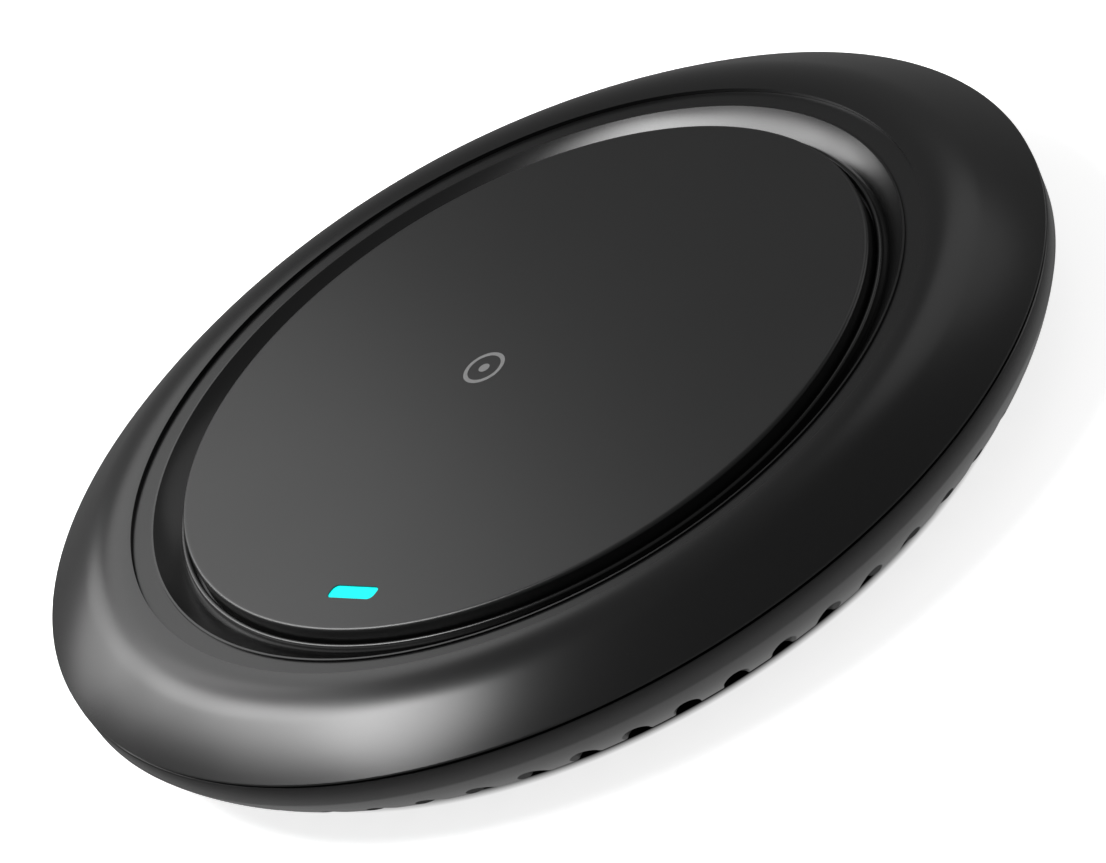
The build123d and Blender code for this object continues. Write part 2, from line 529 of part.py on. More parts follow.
with BuildPart() as fan_rotor:
    with BuildSketch(Plane.XY.offset(HUB_Z)):
        Circle(HUB_R)
        Circle(SHAFT_R, mode=Mode.SUBTRACT)
    extrude(amount=HUB_THICK)
    with BuildSketch(Plane.XY.offset(HUB_Z + HUB_THICK)):
        Circle(HUB_R)
        Circle(HUB_R - HUB_WALL, mode=Mode.SUBTRACT)
    extrude(amount=FAN_PLATE_Z - FRAME_GAP - HUB_Z - HUB_THICK)
    with BuildSketch(Plane.XY.offset(BLADE_Z)):
        for blade in range(BLADES):
            start = blade * 360 / BLADES
            with BuildLine():
                ThreePointArc(around(HUB_R - 0.3, start), around(10.2, start + BLADE_SWEEP * 0.35),
                              around(FAN_R, start + BLADE_SWEEP))
                offset(amount=BLADE_THICK / 2)
            make_face()
    extrude(amount=BLADE_TOP - BLADE_Z)

with BuildPart() as fan_screws:
    with BuildSketch(Plane.XY.offset(FAN_TOP)):
        with PolarLocations(FAN_LEG_CIRCLE, FAN_LEGS, start_angle=FIRST_POST):
            Circle(FAN_HEAD_R)
    extrude(amount=FAN_HEAD)
    fillet(fan_screws.edges().group_by(Axis.Z)[-1], 0.2)
    with BuildSketch(Plane.XY.offset(FLOOR_Z - 0.8)):
        with PolarLocations(FAN_LEG_CIRCLE, FAN_LEGS, start_angle=FIRST_POST):
            Circle(SMALL_SHANK_R)
    extrude(amount=FAN_TOP - FLOOR_Z + 0.8)


def fan_wire(side):
    """Route of one fan wire, a little to one side of the line towards the fan socket."""
    root = around(POLE_R, LEAD_ANGLE + 5 * side)
    end = around(SOCKET_CIRCLE, LEAD_ANGLE + side)
    return [(*root, FAN_PLATE_Z - FRAME_GAP), (*root, FAN_TOP + 0.35), (*end, FAN_TOP + 0.35),
            (*end, BOARD_TOP + SOCKET_HEIGHT)]


fan_lead = wires([fan_wire(-1), fan_wire(1)], FAN_WIRE_R, FAN_WIRE_BEND)

# ---- Names and files ----------------------------------------------------------------
pieces = {
    "charging_plate": charging_plate, "status_light_guide": status_light_guide,
    "dish_bezel": dish_bezel, "trim_ring": trim_ring, "ring_cover": ring_cover,
    "bottom_case": bottom_case, "rubber_feet": rubber_feet, "case_screws": case_screws,
    "coil_tray": coil_tray, "tray_screws": tray_screws, "ferrite_shield": ferrite_shield,
    "transmit_coil": transmit_coil, "coil_leads": coil_leads, "coil_pad": coil_pad,
    "thermistor": thermistor, "thermistor_leads": thermistor_leads,
    "circuit_board": circuit_board, "board_screws": board_screws, "status_leds": status_leds,
    "controller_chip": controller_chip, "bridge_transistors": bridge_transistors,
    "resonant_capacitors": resonant_capacitors, "input_capacitors": input_capacitors,
    "timing_crystal": timing_crystal, "small_passives": small_passives,
    "power_inductor": power_inductor, "usb_shell": usb_shell, "usb_tongue": usb_tongue,
    "usb_contacts": usb_contacts, "fan_socket": fan_socket, "fan_lead": fan_lead,
    "fan_frame": fan_frame, "fan_bearing": fan_bearing, "fan_stator": fan_stator,
    "fan_windings": fan_windings, "fan_shaft": fan_shaft, "fan_magnet": fan_magnet,
    "fan_rotor": fan_rotor, "fan_screws": fan_screws,
}
for label, piece in pieces.items():
    piece.part.label = label
    export_step(piece.part, f"parts/{label}.step")
    print(label, round(piece.part.volume, 2), "mm3")
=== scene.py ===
# %% [markdown]
# # A round wireless charging pad
# The pad is a flat disc 100 mm across: a plate that the telephone lies on, a shallow dish
# round it, a broad domed ring, and a curved skirt full of air vents underneath. The packed
# CAD model is loaded first and never changed. Everything that shows is then built again
# with finer curves, in the same place and in the same frame.

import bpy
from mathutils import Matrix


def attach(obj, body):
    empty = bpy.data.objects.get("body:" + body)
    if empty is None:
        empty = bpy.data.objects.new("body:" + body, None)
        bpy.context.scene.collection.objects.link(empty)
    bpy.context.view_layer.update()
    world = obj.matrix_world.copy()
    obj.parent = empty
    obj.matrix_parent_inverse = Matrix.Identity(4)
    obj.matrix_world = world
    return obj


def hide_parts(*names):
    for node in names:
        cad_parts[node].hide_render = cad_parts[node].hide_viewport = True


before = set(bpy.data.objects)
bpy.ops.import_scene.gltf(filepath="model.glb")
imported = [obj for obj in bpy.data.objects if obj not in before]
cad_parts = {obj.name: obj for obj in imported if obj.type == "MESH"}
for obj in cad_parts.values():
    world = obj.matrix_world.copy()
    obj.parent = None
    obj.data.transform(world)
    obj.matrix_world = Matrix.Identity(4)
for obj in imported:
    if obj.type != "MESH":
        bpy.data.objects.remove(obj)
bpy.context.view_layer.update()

# %% Units
from math import asin, atan, atan2, cos, degrees, dist, pi, radians, sin, sqrt

import bmesh
import bpy
from mathutils import Matrix, Vector

MM = 0.001
scene = bpy.context.scene

# %% [markdown]
# ## Camera
# A product picture like this is taken from far away with a long lens, so that the circles
# stay true ellipses. The camera is built from its own three directions: right, up and back.
# It stands 52 degrees round from the front and 30 degrees up, and is then rolled, which
# tilts the pad in the frame. A rolled camera is easiest to write as a matrix. Three metres
# is nearly as good as any distance beyond it. Much farther away, the other views of the pad
# would stand beyond the range that their camera can see.

# %% Camera
AZIMUTH, ELEVATION, ROLL = radians(51.9), radians(30.25), radians(30.19)
DISTANCE, FRAME_WIDTH, SENSOR = 3.0, 0.1002, 36.0
AIM_Z, AIM_LEFT, AIM_DOWN = 13.4 * MM, 0.27 * MM, 5.38 * MM

right = Vector((cos(AZIMUTH), sin(AZIMUTH), 0))
back = Vector((sin(AZIMUTH) * cos(ELEVATION), -cos(AZIMUTH) * cos(ELEVATION), sin(ELEVATION)))
up = back.cross(right)
aim = Vector((0, 0, AIM_Z)) - AIM_LEFT * right - AIM_DOWN * up
cam_right = right * cos(ROLL) - up * sin(ROLL)
cam_up = right * sin(ROLL) + up * cos(ROLL)

lens = bpy.data.cameras.new("camera")
lens.sensor_width = SENSOR
lens.lens = SENSOR * DISTANCE / FRAME_WIDTH
lens.clip_end = 20
camera = bpy.data.objects.new("camera", lens)
turn = Matrix((cam_right, cam_up, back)).transposed().to_4x4()
camera.matrix_world = Matrix.Translation(aim + back * DISTANCE) @ turn
scene.collection.objects.link(camera)
scene.camera = camera
print("lens", round(lens.lens), "mm")

# %% [markdown]
# ## Outlines that are spun
# Nearly every part of the pad is turned, like a bowl on a lathe. Half of its section is
# drawn as a chain of edges, and the spin operator carries the chain once round the upright
# axis. The arcs of the section come from the same operator: a single vertex that is spun
# about a centre leaves an arc behind it. Where the centre isn't known, it is worked out from
# the two ends and either the direction at the start or the depth of the hollow.

# %% The outline helper
TURN_STEPS = 300


class Outline:
    """Half a section, drawn in the XZ plane in millimetres and spun about the Z axis."""

    def __init__(self, radius, height):
        self.bm = bmesh.new()
        self.last = self.first = self.bm.verts.new((radius * MM, 0, height * MM))
        self.corners = []

    def line(self, *points, rounding=0):
        for radius, height in points:
            end = self.bm.verts.new((radius * MM, 0, height * MM))
            self.bm.edges.new((self.last, end))
            self.last = end
            if rounding:
                self.corners.append((end, rounding))
        return self

    def arc(self, radius, height, degrees, steps):
        """Swing the end about a centre. Plus is from the +X side up towards +Z."""
        swung = bmesh.ops.spin(self.bm, geom=[self.last], cent=(radius * MM, 0, height * MM),
                               axis=(0, -1, 0), angle=radians(degrees), steps=steps)
        self.last = swung["geom_last"][0]
        return self

    def tangent_arc(self, radius, height, leaving, steps):
        """An arc to a point, which sets out in a direction given in degrees above +X."""
        start = (self.last.co.x / MM, self.last.co.z / MM)
        turn = 2 * (atan2(height - start[1], radius - start[0]) - radians(leaving))
        reach = dist(start, (radius, height)) / (2 * sin(turn / 2))
        self.heading = leaving + degrees(turn)
        return self.arc(start[0] - reach * sin(radians(leaving)),
                        start[1] + reach * cos(radians(leaving)), degrees(turn), steps)

    def hollow_arc(self, radius, height, sag, steps):
        """An arc to a point that strays so far from the straight line, to its right."""
        start = (self.last.co.x / MM, self.last.co.z / MM)
        half_turn = 2 * atan(2 * sag / dist(start, (radius, height)))
        straight = atan2(height - start[1], radius - start[0])
        return self.tangent_arc(radius, height, degrees(straight + half_turn), steps)

    def spin(self, closed=True, steps=TURN_STEPS, degrees=360):
        """Round the marked corners, close the section and carry it round the axis."""
        if closed:
            self.bm.edges.new((self.last, self.first))
        for corner, size in self.corners:
            bmesh.ops.bevel(self.bm, geom=[corner], offset=size * MM, offset_type="OFFSET",
                            affect="VERTICES", segments=5, profile=0.5, material=-1)
        section = list(self.bm.verts) + list(self.bm.edges)
        bmesh.ops.spin(self.bm, geom=section, cent=(0, 0, 0), axis=(0, 0, 1),
                       angle=radians(degrees), steps=steps, use_merge=degrees == 360)
        bmesh.ops.remove_doubles(self.bm, verts=self.bm.verts, dist=0.001 * MM)
        bmesh.ops.recalc_face_normals(self.bm, faces=self.bm.faces)
        return self.bm


print("a spun part has", TURN_STEPS, "steps to the turn")

# %% [markdown]
# ## Finished pieces
# A piece needs a mesh, a finish, a CAD body to ride on, and the names of the CAD nodes that
# it stands for. Curves are shaded smooth, and every edge sharper than a given angle stays
# crisp, which is how a moulded part looks.

# %% Make a piece
def piece(name, bm, finish, replaces=(), body="base", crease=32):
    mesh = bpy.data.meshes.new(name)
    bm.to_mesh(mesh)
    bm.free()
    mesh.shade_smooth()
    mesh.set_sharp_from_angle(angle=radians(crease))
    mesh.materials.append(finish)
    thing = bpy.data.objects.new(name, mesh)
    scene.collection.objects.link(thing)
    if replaces:
        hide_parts(*replaces)
    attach(thing, body)
    print(name, len(mesh.polygons), "faces")
    return thing


# %% Cut one shape out of another
def cut(bm, tool):
    """Take the tool's shape out of the first one, with an exact Boolean modifier."""
    shapes = []
    for label, source in (("blank", bm), ("tool", tool)):
        mesh = bpy.data.meshes.new(label)
        source.to_mesh(mesh)
        source.free()
        shapes.append(bpy.data.objects.new(label, mesh))
        scene.collection.objects.link(shapes[-1])
    blank, cutter = shapes
    boolean = blank.modifiers.new("cut", "BOOLEAN")
    boolean.operation = "DIFFERENCE"
    boolean.solver = "EXACT"
    boolean.object = cutter
    seen = blank.evaluated_get(bpy.context.evaluated_depsgraph_get())
    result = bmesh.new()
    result.from_mesh(seen.to_mesh())
    seen.to_mesh_clear()
    for shape in shapes:
        mesh = shape.data
        bpy.data.objects.remove(shape)
        bpy.data.meshes.remove(mesh)
    return result


# %% Copy one shape into another
def add(target, part, turn_degrees=0, move=(0, 0, 0)):
    """Copy a shape into another, turned about the upright axis and moved."""
    mesh = bpy.data.meshes.new("part")
    part.to_mesh(mesh)
    mesh.transform(Matrix.Rotation(radians(turn_degrees), 4, "Z") @ Matrix.Translation(move))
    target.from_mesh(mesh)
    bpy.data.meshes.remove(mesh)


# %% [markdown]
# ## Shader maths
# A pattern in a material is a sum of waves and noises. Each Math node is one operation, so
# a small class wraps a socket and turns plain Python sums into nodes. Everything else comes
# from one method that takes the node's type, its settings, and what goes into its sockets.

# %% The socket class and the sheet that holds the nodes
class Val:
    """One number that varies over a surface."""

    def __init__(self, sheet, socket):
        self.sheet, self.socket = sheet, socket

    def _math(self, operation, *values):
        return self.sheet.node("ShaderNodeMath", {"operation": operation}, *values)

    def __add__(self, other):
        return self._math("ADD", self, other)

    def __sub__(self, other):
        return self._math("SUBTRACT", self, other)

    def __rsub__(self, other):
        return self._math("SUBTRACT", other, self)

    def __mul__(self, other):
        return self._math("MULTIPLY", self, other)

    __radd__, __rmul__ = __add__, __mul__

    def sin(self):
        return self._math("SINE", self)

    def above(self, limit):
        return self._math("GREATER_THAN", self, limit)

    def power(self, exponent):
        return self._math("POWER", self, exponent)


class Finish:
    """A material with one Principled shader, whose varying sockets are fed by expressions."""

    def __init__(self, name, colour, roughness, **settings):
        self.material = bpy.data.materials.new(name)
        self.material.use_nodes = True
        self.tree = self.material.node_tree
        self.shader = self.tree.nodes["Principled BSDF"]
        self.set("Base Color", (*colour, 1))
        self.set("Roughness", roughness)
        for socket, value in settings.items():
            self.set(socket.replace("_", " "), value)
        self.place = Val(self, self.tree.nodes.new("ShaderNodeTexCoord").outputs["Object"])

    def set(self, socket, value):
        """Give a socket of the shader a number, a colour or an expression."""
        self.join(self.shader.inputs[socket], value)
        return self

    def join(self, socket, value):
        if isinstance(value, Val):
            self.tree.links.new(value.socket, socket)
        else:
            socket.default_value = value

    def node(self, kind, settings, *values, output=0, **named):
        """Any node: its type, its settings, then the values or links of its sockets."""
        made = self.tree.nodes.new(kind)
        for name, value in settings.items():
            setattr(made, name, value)
        for socket, value in zip(made.inputs, values):
            self.join(socket, value)
        for name, value in named.items():
            self.join(made.inputs[name.replace("_", " ")], value)
        return Val(self, made.outputs[output])

    def noise(self, per_mm, detail=2, **named):
        """Noise from 0 to 1 with so many lumps to the millimetre."""
        return self.node("ShaderNodeTexNoise", {}, Vector=self.place, Scale=per_mm / MM,
                         Detail=detail, **named)

    def split(self):
        """The X, Y and Z of a place on the piece, in millimetres."""
        parts = self.tree.nodes.new("ShaderNodeSeparateXYZ")
        self.join(parts.inputs[0], self.place)
        return [Val(self, out) * (1 / MM) for out in parts.outputs]

    def blend(self, share, low, high):
        """A colour between two, by a share from 0 to 1."""
        return self.node("ShaderNodeMix", {"data_type": "RGBA"}, output=2, Factor=share,
                         A=low, B=high)

    def bump(self, height, millimetres, strength=1.0):
        """Raise the surface by a height from 0 to 1 times so many millimetres."""
        return self.set("Normal", self.node("ShaderNodeBump", {}, Strength=strength,
                                            Distance=millimetres * MM, Height=height))


print("shader tools ready")

# %% [markdown]
# ## Black plastics
# Three blacks meet on the top of the pad. The plate has a soft, slightly open finish, the
# ring and the dish a closer satin, and the case below a plain moulded surface. Their colour
# is nearly the same: what tells them apart is how wide each one spreads a reflection. A
# faint grain keeps them from looking like glass.

# %% Black plastic finishes
def black_plastic(name, shade, roughness, grain_per_mm, grain_depth, level=0.5):
    finish = Finish(name, (shade, shade, shade * 1.02), roughness)
    finish.set("Specular IOR Level", level)
    grain = finish.noise(grain_per_mm, 3)
    drift = finish.noise(0.05, 2)
    finish.set("Roughness", roughness + (drift - 0.5) * 0.04 + (grain - 0.5) * 0.03)
    finish.set("Base Color", finish.blend(grain, (shade * 0.9, shade * 0.9, shade * 0.92, 1),
                                          (shade * 1.1, shade * 1.1, shade * 1.12, 1)))
    finish.bump(grain, grain_depth)
    return finish.material


plate_black = black_plastic("plate_black", 0.006, 0.34, 5.0, 0.0003, 0.58)
trim_black = black_plastic("trim_black", 0.006, 0.3, 5.0, 0.0003, 0.45)
ring_black = black_plastic("ring_black", 0.005, 0.24, 4.0, 0.0002, 0.5)
case_black = black_plastic("case_black", 0.005, 0.26, 4.0, 0.0003, 0.7)
print("black plastics", plate_black.name, trim_black.name, ring_black.name, case_black.name)

# %% [markdown]
# ## The charging plate
# A thin disc with a softly rounded edge and a rim underneath that stands in the dish. One
# line close inside the rounding keeps the flat top flat: without it the smooth shading
# would run from the edge to the middle.

# %% Charging plate
PLATE_R, PLATE_TOP, PLATE_FOOT, PLATE_RIM_Z = 34.5, 13.79, 12.5, 11.4
PLATE_ROUND, PLATE_RIM_R = 0.38, 33.2
LIGHT_R, LIGHT_LENGTH, LIGHT_WIDTH, LIGHT_CORNER, LIGHT_RECESS = 29.4, 5.6, 1.7, 0.6, 0.1

plate = (Outline(0, PLATE_TOP)
         .line((20, PLATE_TOP), (PLATE_R - PLATE_ROUND - 0.2, PLATE_TOP),
               (PLATE_R - PLATE_ROUND, PLATE_TOP))
         .arc(PLATE_R - PLATE_ROUND, PLATE_TOP - PLATE_ROUND, -90, 10)
         .line((PLATE_R, PLATE_RIM_Z), (PLATE_RIM_R, PLATE_RIM_Z), (PLATE_RIM_R, PLATE_FOOT),
               (0, PLATE_FOOT))
         .spin(closed=False))


def rounded_bar(length, width, corner, bottom, top, middle=(0, 0), segments=8):
    """An upright bar with rounded corners, in millimetres."""
    bm = bmesh.new()
    bmesh.ops.create_cube(bm, size=1)
    bmesh.ops.scale(bm, vec=(length * MM, width * MM, (top - bottom) * MM), verts=bm.verts)
    bmesh.ops.translate(bm, vec=(middle[0] * MM, middle[1] * MM, (top + bottom) / 2 * MM),
                        verts=bm.verts)
    upright = [e for e in bm.edges if abs(e.verts[0].co.z - e.verts[1].co.z) > MM / 100]
    bmesh.ops.bevel(bm, geom=upright, offset=corner * MM, offset_type="OFFSET", affect="EDGES",
                    segments=segments, profile=0.5, material=-1)
    return bm


plate = cut(plate, rounded_bar(LIGHT_LENGTH, LIGHT_WIDTH, LIGHT_CORNER, PLATE_FOOT - 1,
                               PLATE_TOP + 1, (0, -LIGHT_R)))
piece("charging_plate_top", plate, plate_black, ["charging_plate"])

# %% [markdown]
# ## The status light
# A clear bar carries the light of two small lamps on the circuit board up to the plate. Its
# end lies a tenth of a millimetre below the plate, and it glows evenly.

# %% Status light
glow = Finish("status_glow", (0.0, 0.30, 0.30), 0.3)
glow.set("Emission Color", (0.0, 0.80, 0.76, 1)).set("Emission Strength", 1.0)
glow.set("Specular IOR Level", 0.1)
LIGHT_PLAY, LIGHT_FOOT = 0.04, 5.6
light_bar = rounded_bar(LIGHT_LENGTH - LIGHT_PLAY, LIGHT_WIDTH - LIGHT_PLAY, LIGHT_CORNER,
                        LIGHT_FOOT, PLATE_TOP - LIGHT_RECESS, (0, -LIGHT_R))
piece("status_light", light_bar, glow.material, ["status_light_guide"])

# %% [markdown]
# ## The printed sign
# A small sign on the plate shows where the coil lies: a ring with a dot in it, printed in
# grey. Print is a film about a hundredth of a millimetre thick, so it is spun as two flat
# shapes of that height.

# %% Coil sign
SIGN_AT, SIGN_R, SIGN_LINE, SIGN_DOT, INK = (-5.5, 0.8), 2.1, 0.42, 0.55, 0.01
ink = Finish("ink_grey", (0.22, 0.22, 0.22), 0.55)
speckle = ink.noise(12.0, 3)
ink.set("Base Color", ink.blend(speckle, (0.19, 0.19, 0.19, 1), (0.25, 0.25, 0.25, 1)))
ink.bump(speckle, 0.001)
sign = (Outline(SIGN_R, PLATE_TOP + INK)
        .line((SIGN_R - SIGN_LINE, PLATE_TOP + INK), (SIGN_R - SIGN_LINE, PLATE_TOP - INK),
              (SIGN_R, PLATE_TOP - INK))
        .spin(steps=96))
dot = (Outline(0, PLATE_TOP + INK)
       .line((SIGN_DOT, PLATE_TOP + INK), (SIGN_DOT, PLATE_TOP - INK), (0, PLATE_TOP - INK))
       .spin(closed=False, steps=48))
add(sign, dot)
bmesh.ops.translate(sign, vec=(SIGN_AT[0] * MM, SIGN_AT[1] * MM, 0), verts=sign.verts)
piece("coil_sign", sign, ink.material)

# %% [markdown]
# ## The dish
# Between the plate and the ring lies a narrow dish: a small bead close to the plate, a
# hollow slope, and a thin upright rim. It is one section spun round.

# %% Dish
RIM_R, RIM_Z, RIM_WIDTH = 37.9, 13.2, 0.2
DISH_R, DISH_Z, DISH_SAG = 35.55, 11.6, 0.09
BEAD_R, BEAD_Z, BEAD_RADIUS = 35.0, 12.2, 0.28
SHELF_R, SHELF_FOOT, TRIM_R, TRIM_FOOT = 31.5, 10.2, 41.3, 11.5

dish = (Outline(RIM_R, RIM_Z)
        .line((RIM_R - RIM_WIDTH, RIM_Z))
        .hollow_arc(DISH_R, DISH_Z, DISH_SAG, 12)
        .line((BEAD_R + BEAD_RADIUS, DISH_Z), (BEAD_R + BEAD_RADIUS, BEAD_Z))
        .arc(BEAD_R, BEAD_Z, 180, 16)
        .line((BEAD_R - BEAD_RADIUS, PLATE_RIM_Z), (SHELF_R, PLATE_RIM_Z), (SHELF_R, SHELF_FOOT),
              (TRIM_R, SHELF_FOOT), (TRIM_R, TRIM_FOOT), (RIM_R, TRIM_FOOT))
        .spin())
piece("dish", dish, ring_black, ["dish_bezel"])

# %% [markdown]
# ## The trim ring
# A flat ring fills the step between the dish's rim and the domed ring. Under the domed ring
# it steps down, so that the domed ring can rest on it.

# %% Trim ring
LEDGE_Z, STEP_Z, RING_R, PLAY = 13.02, 12.52, 39.9, 0.02

trim = (Outline(RIM_R + PLAY, LEDGE_Z)
        .line((RING_R - PLAY, LEDGE_Z), (RING_R - PLAY, STEP_Z), (TRIM_R, STEP_Z),
              (TRIM_R, TRIM_FOOT + PLAY), (RIM_R + PLAY, TRIM_FOOT + PLAY))
        .spin())
piece("trim", trim, trim_black, ["trim_ring"])

# %% [markdown]
# ## The domed ring
# The broadest surface of the pad. Its section is two arcs that run into each other without
# a kink: a tight one over the crown, and a long flat one down to the widest edge. Under it
# stands a thin wall that drops into the case.

# %% Domed ring
PAD_R, EDGE_Z, RING_FOOT, RING_LIP = 50.0, 13.4, 8.8, 0.2
CROWN_START, CROWN_R, CROWN_Z, RING_WALL = 3.4, 45.2, 12.15, 1.5
SPIGOT_R, SPIGOT_THICK, SPIGOT_Z = 48.3, 1.0, 7.4

ring = Outline(RING_R, EDGE_Z).tangent_arc(CROWN_R, CROWN_Z, CROWN_START, 26)
ring.tangent_arc(PAD_R, RING_FOOT + RING_LIP, ring.heading, 14)
ring.line((PAD_R, RING_FOOT), (SPIGOT_R, RING_FOOT), (SPIGOT_R, SPIGOT_Z),
          (SPIGOT_R - SPIGOT_THICK, SPIGOT_Z), (SPIGOT_R - SPIGOT_THICK, RING_FOOT),
          (CROWN_R, CROWN_Z - RING_WALL), (TRIM_R + 0.1, EDGE_Z - RING_WALL),
          (TRIM_R + 0.1, STEP_Z + PLAY), (RING_R, STEP_Z + PLAY))
ring = ring.spin()
piece("domed_ring", ring, ring_black, ["ring_cover"])

# %% [markdown]
# ## The case
# The case is a shallow bowl with a curved skirt. Air goes in through a grille in its floor
# and out through 54 slots round the skirt; there are none behind, where the inlet is. The
# bowl is spun first. All the slots and recesses are then one shape, taken out in one cut.

# %% Case
VENTS, VENT_PHASE, REAR_CLEAR = 57, -3.0, 9.0
VENT_TIP_R, VENT_ROOT_R, VENT_WIDTH, VENT_TOP = 48.1, 42.5, 2.7, 7.0
GRILLE_SLOTS, GRILLE_R, GRILLE_LENGTH, GRILLE_WIDTH = 12, 9.1, 7.0, 1.8
FOOT_R, FOOT_WIDTH, FOOT_ARC, FOOT_THICK, FEET = 33.0, 7.6, 62.0, 1.2, 4
INLET_Y, INLET_Z, INLET_DEPTH = 49, 6.33, 6
INLET_WIDTH, INLET_HEIGHT, INLET_CORNER = 9.24, 3.56, 1.65
SKIRT_X, SKIRT_Z, SKIRT_R, WALL = 38.0, 13.16, 13.6, 1.5
BASE_Z, FLOOR_Z, BAND_Z, BAND_TOP, BAND_R, BAND_ROUND = 0.8, 2.2, 6.25, 8.5, 49.98, 0.2


def skirt_angle(reach, height):
    """How far round below its centre a curve of this radius comes to a height, in degrees."""
    return degrees(asin((SKIRT_Z - height) / reach))


def skirt_place(reach, height):
    """The point of the skirt's curve at a height."""
    return SKIRT_X + sqrt(reach ** 2 - (SKIRT_Z - height) ** 2), height


INNER_R = SKIRT_R - WALL
case = (Outline(0, BASE_Z)
        .line((20, BASE_Z), (43.4, BASE_Z), skirt_place(SKIRT_R, BASE_Z))
        .arc(SKIRT_X, SKIRT_Z, skirt_angle(SKIRT_R, BASE_Z) - skirt_angle(SKIRT_R, BAND_Z), 28)
        .line((BAND_R, BAND_TOP - BAND_ROUND))
        .arc(BAND_R - BAND_ROUND, BAND_TOP - BAND_ROUND, 90, 4)
        .line((PAD_R - WALL, BAND_TOP), (PAD_R - WALL, 7.2), skirt_place(INNER_R, BAND_Z))
        .arc(SKIRT_X, SKIRT_Z, skirt_angle(INNER_R, BAND_Z) - skirt_angle(INNER_R, FLOOR_Z), 18)
        .line((20, FLOOR_Z), (0, FLOOR_Z))
        .spin(closed=False, steps=570))


def foot_bar(width, bottom, top):
    """A bar bent round the pad's axis, with round ends, at the +X side."""
    bm = bmesh.new()
    across = [bm.verts.new(((FOOT_R + side * width / 2) * MM, 0, bottom * MM))
              for side in (-1, 0, 1)]
    edges = [bm.edges.new(across[:2]), bm.edges.new(across[1:])]
    bmesh.ops.rotate(bm, verts=across, cent=(0, 0, 0),
                     matrix=Matrix.Rotation(radians(-FOOT_ARC / 2), 3, "Z"))
    ends = bmesh.ops.spin(bm, geom=across + edges, cent=(0, 0, 0), axis=(0, 0, 1),
                          angle=radians(FOOT_ARC), steps=48)["geom_last"]
    for side in (-1, 1):
        at = radians(side * FOOT_ARC / 2)
        centre = (FOOT_R * cos(at) * MM, FOOT_R * sin(at) * MM, bottom * MM)
        half = [e for e in bm.edges if all(abs(atan2(v.co.y, v.co.x) - at) < 1e-4
                and v.co.xy.length > (FOOT_R - 0.1) * MM for v in e.verts)]
        spun = bmesh.ops.duplicate(bm, geom=half + list({v for e in half for v in e.verts}))
        bmesh.ops.spin(bm, geom=spun["geom"], cent=centre, axis=(0, 0, 1),
                       angle=side * pi, steps=20)
    bmesh.ops.remove_doubles(bm, verts=bm.verts, dist=0.001 * MM)
    top_faces = bmesh.ops.extrude_face_region(bm, geom=list(bm.faces))["geom"]
    bmesh.ops.translate(bm, vec=(0, 0, (top - bottom) * MM),
                        verts=[g for g in top_faces if isinstance(g, bmesh.types.BMVert)])
    bmesh.ops.recalc_face_normals(bm, faces=bm.faces)
    return bm


tools = bmesh.new()
vent = rounded_bar(VENT_TIP_R - VENT_ROOT_R, VENT_WIDTH, VENT_WIDTH / 2 - 0.001, -1, VENT_TOP,
                   ((VENT_TIP_R + VENT_ROOT_R) / 2, 0), 12)
for place in range(VENTS):
    angle = VENT_PHASE + place * 360 / VENTS
    if abs(angle - 90) > REAR_CLEAR:
        add(tools, vent, angle)
slot = rounded_bar(GRILLE_LENGTH, GRILLE_WIDTH, GRILLE_WIDTH / 2 - 0.001, -1, 3, (GRILLE_R, 0))
for place in range(GRILLE_SLOTS):
    add(tools, slot, place * 360 / GRILLE_SLOTS)
recess = foot_bar(FOOT_WIDTH, -1, FOOT_THICK)
for place in range(FEET):
    add(tools, recess, 45 + 90 * place)
tunnel = rounded_bar(INLET_WIDTH, INLET_HEIGHT, INLET_CORNER, -INLET_DEPTH / 2, INLET_DEPTH / 2)
bmesh.ops.rotate(tunnel, verts=tunnel.verts, cent=(0, 0, 0), matrix=Matrix.Rotation(pi / 2, 3, "X"))
add(tools, tunnel, 0, (0, INLET_Y * MM, INLET_Z * MM))
case = cut(case, tools)
piece("case", case, case_black, ["bottom_case"])

# %% [markdown]
# ## Rubber feet
# Four soft bars lie in the recesses of the case and hold the pad on the table.

# %% Rubber feet
rubber = Finish("rubber", (0.012, 0.012, 0.012), 0.7)
grip = rubber.noise(3.0, 4)
rubber.set("Roughness", 0.62 + grip * 0.2).bump(grip, 0.01)
feet = bmesh.new()
bar = foot_bar(FOOT_WIDTH - 0.1, 0, FOOT_THICK)
low = [e for e in bar.edges if all(v.co.z < 0.1 * MM for v in e.verts)
       and any(abs(f.normal.z) < 0.5 for f in e.link_faces)]
bmesh.ops.bevel(bar, geom=low, offset=0.25 * MM, offset_type="OFFSET", affect="EDGES",
                segments=4, profile=0.5, material=-1)
for place in range(FEET):
    add(feet, bar, 45 + 90 * place)
piece("feet", feet, rubber.material, ["rubber_feet"])

# %% [markdown]
# ## Inside the pad
# The parts inside come straight from the CAD model, because their shapes are right. Each
# gets the finish of the real thing: copper strands in the coil, tracks on the board, grain
# in the castings. A pattern that runs round the pad is worked out from the angle and the
# distance from its middle.

# %% Helpers for the inside
def dress(finish, *names):
    """Give carried-over CAD nodes a finish."""
    for name in names:
        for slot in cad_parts[name].material_slots:
            slot.material = finish.material
    print(finish.material.name, "on", ", ".join(names))


def plastic(name, colour, roughness, per_mm=4.0, depth=0.002, spread=0.12):
    """A moulded plastic with a fine grain and a slight drift in its colour."""
    finish = Finish(name, colour, roughness)
    grain = finish.noise(per_mm, 3)
    finish.set("Base Color", finish.blend(grain, (*[c * (1 - spread) for c in colour], 1),
                                          (*[min(1, c * (1 + spread)) for c in colour], 1)))
    finish.set("Roughness", roughness + (grain - 0.5) * 0.12)
    return finish.bump(grain, depth)


